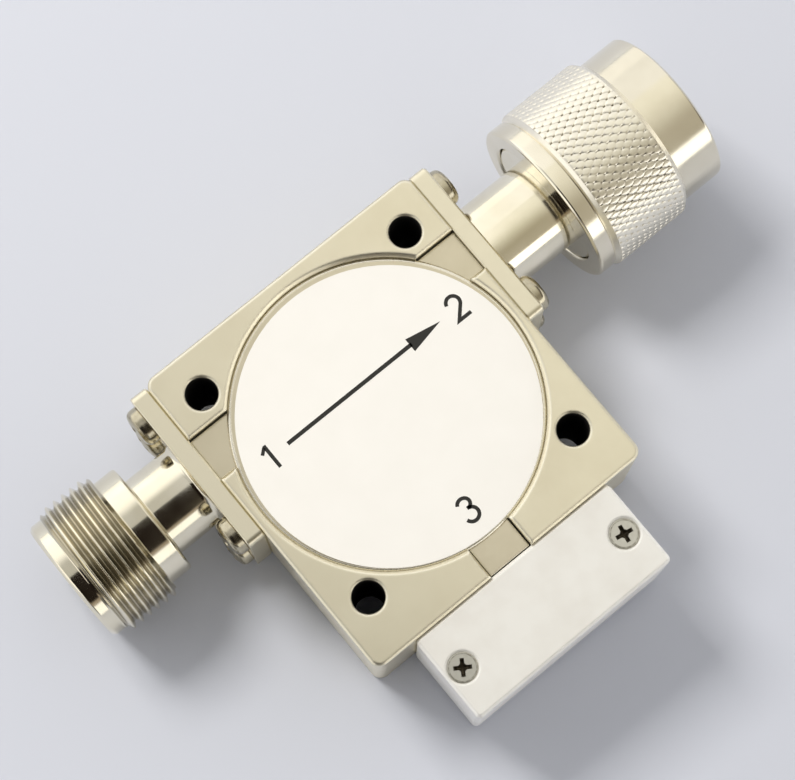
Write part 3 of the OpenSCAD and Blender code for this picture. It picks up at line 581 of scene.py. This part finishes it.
def carved(name, outline, count, recess_span, recess_depth):
    """A turned screw from (z, radius, easing), its crown at z = 0 and facing +Z, with a cross recess."""
    chain = eased(outline)
    angle = np.arange(count) * 2 * math.pi / count
    points = [(r * math.cos(a), r * math.sin(a), z) for z, r in chain[1:-1] for a in angle]
    points += [(0, 0, chain[0][0]), (0, 0, chain[-1][0])]
    top, last = len(points) - 2 - count, len(points) - 1
    faces = strips(len(chain) - 2, count)
    faces += [(last - 1, j, (j + 1) % count) for j in range(count)]
    faces += [(last, top + (j + 1) % count, top + j) for j in range(count)]
    half, wide = recess_span / 2, recess_span * 0.115
    cross = [(half, wide), (wide * 1.9, wide * 1.05), (wide * 1.05, wide * 1.9), (wide, half)]
    ring = [(x * math.cos(t) - y * math.sin(t), x * math.sin(t) + y * math.cos(t))
            for t in np.radians([0, 90, 180, 270]) for x, y in cross]
    n = len(ring)
    levels = [(0.6, 1.12), (0.0, 1.0), (-recess_depth, 0.62)]
    cutter_points = [(x * k, y * k, z) for z, k in levels for x, y in ring] + [(0, 0, -recess_depth * 1.2)]
    cutter_faces = [tuple(range(n))] + strips(len(levels), n)
    cutter_faces += [(2 * n + j, 2 * n + (j + 1) % n, 3 * n) for j in range(n)]
    solids = []
    for part, part_points, part_faces in (("blank", points, faces), ("tool", cutter_points, cutter_faces)):
        mesh = bpy.data.meshes.new(f"{name}_{part}")
        mesh.from_pydata((np.array(part_points) / 1000).tolist(), [], part_faces)
        bm = bmesh.new()
        bm.from_mesh(mesh)
        bmesh.ops.recalc_face_normals(bm, faces=bm.faces)
        bm.to_mesh(mesh)
        bm.free()
        solids.append(bpy.data.objects.new(mesh.name, mesh))
        bpy.context.scene.collection.objects.link(solids[-1])
    blank, tool = solids
    cut = blank.modifiers.new("recess", "BOOLEAN")
    cut.operation = "DIFFERENCE"
    cut.solver = "EXACT"
    cut.object = tool
    bpy.context.view_layer.update()
    shape = bpy.data.meshes.new_from_object(blank.evaluated_get(bpy.context.evaluated_depsgraph_get()))
    for solid in solids:
        bpy.data.objects.remove(solid)
    shape.name = name
    shape.shade_smooth()
    shape.set_sharp_from_angle(angle=math.radians(28))
    return shape


def fix(name, shape, place, direction, turn, finish, node):
    """Sets a screw, its crown at place in millimetres and facing direction, for one of a CAD node's screws."""
    piece = bpy.data.objects.new(name, shape)
    bpy.context.scene.collection.objects.link(piece)
    facing = Vector(direction).to_track_quat("Z", "Y").to_matrix().to_4x4()
    driven = Matrix.Rotation(math.radians(turn), 4, "Z")
    piece.matrix_world = Matrix.Translation(Vector(place) / 1000) @ facing @ driven
    dress(piece, finish)
    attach(piece, "isolator")
    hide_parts(node)


screw_nickel = shaded_screw("dull_screw_nickel", "#CCC5B0", "#A8A08A", "#4A4234", roughness=0.2,
                          recess_reach=1.3, ring_r=1.95)
pan_high = 1.6
pan_head = carved("pan_head", [
    (-5.65, 0, 0), (-5.65, 0.95, 0.1), (-5.35, 1.25, 0.1), (-pan_high, 1.25, 0.0), (-pan_high, 2.08, 0.03),
    (-1.54, 2.15, 0.05), (-0.66, 2.13, 0.25), (-0.24, 1.8, 0.3), (-0.04, 0.95, 0.4), (0.0, 0, 0)],
    count=64, recess_span=2.6, recess_depth=1.0)
for side, node, driven_to in ((-1, "jack_screws", (20, 64, 41, 8)), (1, "plug_screws", (35, 12, 77, 50))):
    for k, (y, z) in enumerate(screw_places):
        crown = (side * (housing_face + jack["flange"] + pan_high), port_y + y, port_z + z)
        fix(f"{node[:-1]}_{k + 1}", pan_head, crown, (side, 0, 0), driven_to[k], screw_nickel, node)

# Plug body.
# The output side's flange, barrel and slotted sleeve, turned from one brass bar and plated as the jack is.
# The nut's bearing shoulder and the retaining ring's groove are inside the nut.

dress(nodes["plug_body"], connector_nickel)

# Plug pin and insulator.
# A gold plated brass pin in a turned PTFE insulator.
# Both are pressed in, and they show only from the mouth of the nut.

dress(nodes["plug_pin"], gold)
dress(nodes["plug_insulator"], ptfe)

# Gasket and retaining ring.
# A red silicone washer, moulded and matt, seals the mated pair, and a split ring of spring bronze, a bright
# brown metal, holds the nut on the plug. Both sit inside the nut.

dress(nodes["gasket"], plain_solid("moulded_silicone", "#A8453A", "#97392F", roughness=0.55, grain=0.2,
                                   grain_depth=0.002))
dress(nodes["retaining_ring"], plain_solid("spring_bronze", "#C79B62", "#B4874F", roughness=0.3, grain=0.1,
                                           grain_depth=0.0008, metallic=1.0))

# Coupling nut.
# It turns freely on the plug: brass, with a rolled diamond knurl between two plain bands and a 5/8-24 thread
# inside. The plating is bright on the bands, and the knurl's flanks catch the light one by one.

nut = dict(start=10.5, band=12.6, ring_groove=(13.0, 14.0), thread_in=17.4, knurl_end=22.6, end=27.9,
           chamfer=0.6)
nut_r = dict(rear=9.66, knurl=10.01, front=9.16, mouth=8.3, relief=thread_top + 0.05, groove=8.11, root=7.87,
             bore=7.41)
nut_around = 528
knurl_step, knurl_depths, knurl_pit, knurl_waves, knurl_fall = 1.52, (0.035, 0.07), 0.12, 6, 0.6
step_rows = 8  # rows of points a step
knurl_long = nut["knurl_end"] - nut["band"]
knurl_rows = int(round(knurl_long / (knurl_step / step_rows)))


def off_grooves(row, column):
    """How far a point is from the nearest groove of each hand: 0 in its middle and 1 half way to the next."""
    steps = [(row + hand * column) / step_rows for hand in (1, -1)]
    return [2 * np.abs(s - np.round(s)) for s in steps]


row, column = np.meshgrid(np.arange(knurl_rows + 1), np.arange(nut_around), indexing="ij")
groove = [np.interp(w, [0, 0.25, 0.5, 1], [1, 0.3, 0.05, 0]) for w in off_grooves(row, column)]
cut = knurl_depths[0] * groove[0] + knurl_depths[1] * groove[1] + knurl_pit * groove[0] * groove[1]
knurl_turn = column * 2 * math.pi / nut_around
# The rolls bit deeper on six stretches.
cut *= 0.7 + 0.3 * np.cos(knurl_waves * (knurl_turn - math.radians(74)))
knurl_along = nut["band"] + knurl_long * row / knurl_rows
edge = np.minimum(knurl_along - nut["band"], nut["knurl_end"] - knurl_along)
knurl_radius = np.minimum(nut_r["knurl"] - cut, nut_r["knurl"] - knurl_fall + edge)
knurl_radius = np.where(edge < 1e-6, nut_r["knurl"] - knurl_fall, knurl_radius)
knurl_points = on_port(1, knurl_along, knurl_radius, knurl_turn).reshape(-1, 3)
first_way, other_way = off_grooves(row[:-1] + 0.5, column[:-1] + 0.5)
knurl_faces = []  # each square is split along the groove that is nearer to it
for (a, b, c, d), nearer in zip(strips(knurl_rows + 1, nut_around), (first_way <= other_way).ravel()):
    knurl_faces += [(a, b, d), (b, c, d)] if nearer else [(a, b, c), (a, c, d)]


def bore_limit(along, radius):
    """The nut's thread opens out in a chamfer at its mouth and runs out at its inner end."""
    gone = np.minimum(along - nut["thread_in"], nut["end"] - nut["chamfer"] - along)
    return np.maximum(radius, nut_r["relief"] - 1.2 * np.maximum(gone, 0))


front = eased([
    (nut["knurl_end"], nut_r["knurl"] - knurl_fall, 0), (nut["knurl_end"], nut_r["front"], 0.05),
    (nut["end"] - 0.25, nut_r["front"], 0.12), (nut["end"], nut_r["front"] - 0.3, 0.12),
    (nut["end"], nut_r["mouth"], 0.1), (nut["end"] - nut["chamfer"], nut_r["relief"], 0)], steps=2)
rear = eased([
    (nut["thread_in"], nut_r["relief"], 0), (16.6, nut_r["relief"], 0.1), (16.4, nut_r["bore"], 0.1),
    (nut["ring_groove"][1], nut_r["bore"], 0), (nut["ring_groove"][1], nut_r["groove"], 0),
    (nut["ring_groove"][0], nut_r["groove"], 0), (nut["ring_groove"][0], nut_r["bore"], 0),
    (nut["start"] + 0.2, nut_r["bore"], 0.08), (nut["start"], nut_r["bore"] + 0.2, 0.08),
    (nut["start"], nut_r["rear"] - 0.25, 0.08), (nut["start"] + 0.25, nut_r["rear"], 0.08),
    (nut["band"] - 0.15, nut_r["rear"], 0.05), (nut["band"], nut_r["knurl"] - knurl_fall, 0)], steps=2)
inner_thread = [(0.0, nut_r["bore"]), (0.1, nut_r["bore"]), (0.44, nut_r["root"]), (0.6, nut_r["root"])]
points, faces = joined(
    (knurl_points, knurl_faces),
    lathe(1, front, nut_around),
    lathe(1, rear, nut_around),
    helix(1, nut["thread_in"], nut["end"] - nut["chamfer"], inner_thread, bore_limit, nut_around))
# The bands mirror, handling has dulled the knurl, and the pits where its grooves cross are painted dark as
# shade.
nut_nickel = bright_nickel(
    "bright_nickel_on_nut", "#EFE9D8", "#E5DECB", roughness=0.15, ring_pitch=0.08, ring_depth=0.0003,
    satin=(housing_face + nut["band"], housing_face + nut["knurl_end"]), satin_tone="#F3EEE0", satin_more=0.14,
    darkened=(housing_face + nut["band"] + 0.5, housing_face + nut["knurl_end"] - 0.5), crest_r=nut_r["knurl"],
    shade_depths=(0.05, 0.15), shade_tone="#6E6552", shade_dulls=0.0, patchy=True)
knurled = build("coupling_nut_knurled", points, faces, "coupling_nut", nut_nickel, sharp=24,
                merge=0.0005)
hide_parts("coupling_nut")

# Load block and lid.
# A milled aluminium block with a screwed lid, which holds the third port's resistor and takes its heat away.
# Both are blasted and clear anodised, which leaves a fine, almost white matt metal.

# The blast's pits are too fine to show, so they are drawn at 0.14 mm, about three times their size.
anodised = new_finish("blasted_clear_anodised")
block_place = put(anodised, "TexCoord").outputs["Object"]
blast = put(anodised, "TexNoise", {"Vector": block_place, "Scale": 1000 / 0.14, "Detail": 3.0,
                                   "Roughness": 0.7})
block_clouds = put(anodised, "TexNoise", {"Vector": block_place, "Scale": 1000 / 4, "Detail": 3.0})
block_share = put(anodised, "MapRange", {"Value": block_clouds, "From Min": 0.35, "From Max": 0.65})
block_tone = put(anodised, "Mix", {0: block_share, 6: linear("#F5F3EF"), 7: linear("#FBFAF7")},
                 data_type="RGBA")
block_edge = put(anodised, "Bevel", {"Radius": 0.0002}, samples=6)
block_bump = put(anodised, "Bump", {"Height": blast, "Distance": 0.000004, "Normal": block_edge})
block_dull = put(anodised, "MapRange", {"Value": blast, "To Min": 0.46, "To Max": 0.6})
block_shader = put(anodised, "BsdfPrincipled", {
    "Base Color": block_tone, "Metallic": 0.5, "Roughness": block_dull, "Normal": block_bump})
put(anodised, "OutputMaterial", {"Surface": block_shader})
dress(nodes["load_block"], anodised)
dress(nodes["load_lid"], anodised)

# Lid screws.
# Two M2 countersunk steel screws with a cross recess, sunk just below the lid's face.
# Grey nickel, with the recess painted dark as shade and a darker ring inside the edge.

flat_head = carved("flat_head", [
    (-5.7, 0, 0), (-5.7, 0.7, 0.1), (-5.4, 1.0, 0.1), (-0.8, 1.0, 0.1), (-0.14, 1.6, 0.05), (0, 1.55, 0.06),
    (0, 0, 0)], count=64, recess_span=1.9, recess_depth=0.75)
lid_screw_nickel = shaded_screw("shaded_lid_screw_nickel", "#D6D4CB", "#C0BEB3", "#6B6353", roughness=0.3,
                              recess_reach=1.0, ring_r=1.42)
lid_top, load_mid_y, lid_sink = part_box("load_lid")[1].z * 1000, -24.95, 0.1
for k, (x, turn) in enumerate(((-10.65, 57), (10.65, 80))):
    crown = (x, load_mid_y, lid_top - lid_sink)
    fix(f"lid_screw_{k + 1}", flat_head, crown, (0, 0, 1), turn, lid_screw_nickel, "lid_screws")

# Load inside.
# Two screws hold the block to the housing from inside its pocket. A ceramic resistor on a plated copper base
# takes up what comes back through the third port, and it is soldered to the junction by its tab.

dress(nodes["load_screws"], screw_nickel)
dress(nodes["resistor_base"], silver_copper)
dress(nodes["resistor_chip"], ring_ceramic)
dress(nodes["resistor_tab"], silver_copper)

# Table, light and camera.
# A plain pale table that the part lies on, tipped a little to touch the nut, the jack's thread and the load's
# edge. Soft daylight from the upper left, a bright strip low in front, and a glowing card overhead, dark in
# parts, that only bright metal mirrors: a painted reflection of the room's shade and light.

scene = bpy.context.scene
scene.view_settings.view_transform = "Standard"

# A pale grey laminate without gloss, so it shows only the part's soft shadow.
table_top = new_finish("pale_table")
table_shader = put(table_top, "BsdfPrincipled", {"Base Color": linear("#D3D7E4"), "Roughness": 0.75})
put(table_top, "OutputMaterial", {"Surface": table_shader})
contact = [Vector((housing_face + nut["band"] + knurl_fall, port_y, port_z - nut_r["knurl"])),
           Vector((-33.7, port_y, port_z - thread_top)), Vector((-12.7, -30.05, 0.0))]
upward = (contact[1] - contact[0]).cross(contact[2] - contact[0]).normalized()
upward = upward if upward.z > 0 else -upward
table_mesh = bpy.data.meshes.new("table")
grid = bmesh.new()
bmesh.ops.create_grid(grid, x_segments=8, y_segments=8, size=2.0)
grid.to_mesh(table_mesh)
grid.free()
table = bpy.data.objects.new("table", table_mesh)
scene.collection.objects.link(table)
table_turn = upward.to_track_quat("Z", "Y").to_matrix().to_4x4()
table.matrix_world = Matrix.Translation(contact[0] / 1000 - upward * 0.00002) @ table_turn
dress(table, table_top)

# The room is brightest round the window and on its open side. Above the strip low in front it is even.
world = bpy.data.worlds.new("room")
scene.world = world
world.use_nodes = True
world.node_tree.nodes.clear()
facing = put(world, "TexCoord").outputs["Generated"]
axes = put(world, "SeparateXYZ", {0: facing})
window_way, shade_way = Vector((-0.2, 0.87, 0.45)).normalized(), Vector((-0.6, -0.77, 0.15)).normalized()
to_window = put(world, "VectorMath", {0: facing, 1: window_way}, operation="DOT_PRODUCT")
glow = put(world, "MapRange", {"Value": to_window, "From Min": math.cos(math.radians(43)),
                               "From Max": math.cos(math.radians(20))}, interpolation_type="SMOOTHSTEP")
near_side = put(world, "MapRange", {"Value": glow, "To Min": 0.58, "To Max": 1.36})
open_side = put(world, "MapRange", {"Value": glow, "To Min": 1.40, "To Max": 1.37})
across = put(world, "MapRange", {"Value": axes.outputs["X"], "From Min": 0.0, "From Max": 0.2},
             interpolation_type="SMOOTHSTEP")
level = put(world, "Mix", {0: across, 2: near_side, 3: open_side})
low = put(world, "MapRange", {"Value": axes.outputs["Z"], "From Min": 0.36, "From Max": 0.42, "To Min": 1.0,
                              "To Max": 0.0}, interpolation_type="SMOOTHSTEP")
ahead = put(world, "MapRange", {"Value": axes.outputs["Y"], "From Min": 0.3, "From Max": -0.7, "To Min": 0.1,
                                "To Max": 0.7}, interpolation_type="SMOOTHSTEP")
level = put(world, "Math", {0: low, 1: ahead, 2: level}, operation="MULTIPLY_ADD")
past = put(world, "MapRange", {"Value": axes.outputs["X"], "From Min": 0.17, "From Max": 0.26, "To Min": 0.0,
                               "To Max": 0.39}, interpolation_type="SMOOTHSTEP")
level = put(world, "Math", {0: level, 1: past}, operation="SUBTRACT")
to_shade = put(world, "VectorMath", {0: facing, 1: shade_way}, operation="DOT_PRODUCT")
open_air = put(world, "MapRange", {"Value": to_shade, "From Min": math.cos(math.radians(30)),
                                   "From Max": math.cos(math.radians(20)), "To Min": 1.0, "To Max": 0.12},
               interpolation_type="SMOOTHSTEP")
level = put(world, "Math", {0: level, 1: open_air}, operation="MULTIPLY")
warm = put(world, "Mix", {0: level, 6: linear("#000000"), 7: linear("#FFFDF8")}, data_type="RGBA",
           clamp_factor=False)
seen = put(world, "LightPath")
fill = put(world, "MapRange", {"Value": seen.outputs["Is Diffuse Ray"], "To Min": 1.0, "To Max": 0.6})
shown = put(world, "Mix", {0: seen.outputs["Is Camera Ray"], 6: warm, 7: linear("#D5D8E6")}, data_type="RGBA")
background = put(world, "Background", {"Color": shown, "Strength": fill})
put(world, "OutputWorld", {"Surface": background})

# The window as a soft square lamp, which casts the shadows.
light = bpy.data.lights.new("window", "AREA")
light.size = 0.20
light.energy = 2.5
light.color = linear("#FFFBF2")[:3]
window = bpy.data.objects.new("window", light)
window.location = (-0.06, 0.40, 0.46)
window.rotation_euler = (-window.location).to_track_quat("-Z", "Y").to_euler()
window.visible_glossy = False
scene.collection.objects.link(window)


def card(name, outline, finish):
    """A flat card in the studio that only bright metal mirrors, in metres."""
    mesh = bpy.data.meshes.new(name)
    mesh.from_pydata(outline, [], [tuple(range(len(outline)))])
    piece = bpy.data.objects.new(name, mesh)
    scene.collection.objects.link(piece)
    dress(piece, finish)
    piece.visible_camera = piece.visible_diffuse = piece.visible_shadow = False
    piece.visible_transmission = piece.visible_volume_scatter = False


# The glowing card overhead, a painted reflection: pale at back, tan in front, near black at left and far
# right.
glow_card = new_finish("glowing_shade_card")
glow_card_axes = put(glow_card, "SeparateXYZ", {0: put(glow_card, "TexCoord").outputs["Object"]})


def turns(first, second, axis, start, end, easing="LINEAR"):
    """The card's glow, where one colour turns to another between two places, in metres."""
    share = put(glow_card, "MapRange", {"Value": glow_card_axes.outputs[axis], "From Min": start, "From Max": end},
                interpolation_type=easing)
    return put(glow_card, "Mix", {0: share, 6: first, 7: second}, data_type="RGBA")


glow_card_tan = turns(linear("#ACA592"), linear("#B8B1A1"), "X", 0.092, 0.115)
glow_card_right = turns(linear("#FFFCEF"), glow_card_tan, "Y", 0.08, -0.24, "SMOOTHSTEP")
glow_card_right = turns(glow_card_right, linear("#574E44"), "X", 0.22, 0.34)
glow_card_left = turns(linear("#19110C"), linear("#9F9281"), "Y", -0.44, -0.50)
glow_card_tone = turns(glow_card_left, glow_card_right, "X", -0.01, 0.05, "SMOOTHSTEP")
glow_card_emission = put(glow_card, "Emission", {"Color": glow_card_tone, "Strength": 1.04})
put(glow_card, "OutputMaterial", {"Surface": glow_card_emission})
card("overhead_shade", [(x, y, 0.30) for x, y in (
    (-0.60, -0.64), (0.0, -0.64), (0.06, -0.68), (0.80, -0.68), (0.80, 0.13), (0.085, 0.13), (0.07, -0.07),
    (0.01, -0.07), (-0.016, -0.002), (-0.60, -0.002))], glow_card)

# A white board stands beside the jack and lights the left flanks of bright pieces.
board = new_finish("white_board")
board_glow = put(board, "Emission", {"Color": linear("#FFFDF8"), "Strength": 1.3})
put(board, "OutputMaterial", {"Surface": board_glow})
card("side_reflector", [(-0.45, y, z) for y, z in (
    (-0.14, 0.0), (0.5, 0.0), (0.5, 0.26), (-0.14, 0.26))], board)

view = bpy.data.cameras.new("camera")
view.sensor_width = 36.0
view.lens = 108.68
view.clip_start = 0.01
view.clip_end = 10.0
camera = bpy.data.objects.new("camera", view)
camera.location = (-0.0278, -0.03655, 0.256)
camera.rotation_euler = [math.radians(a) for a in (11.295, 0.153, -39.398)]
scene.collection.objects.link(camera)
scene.camera = camera
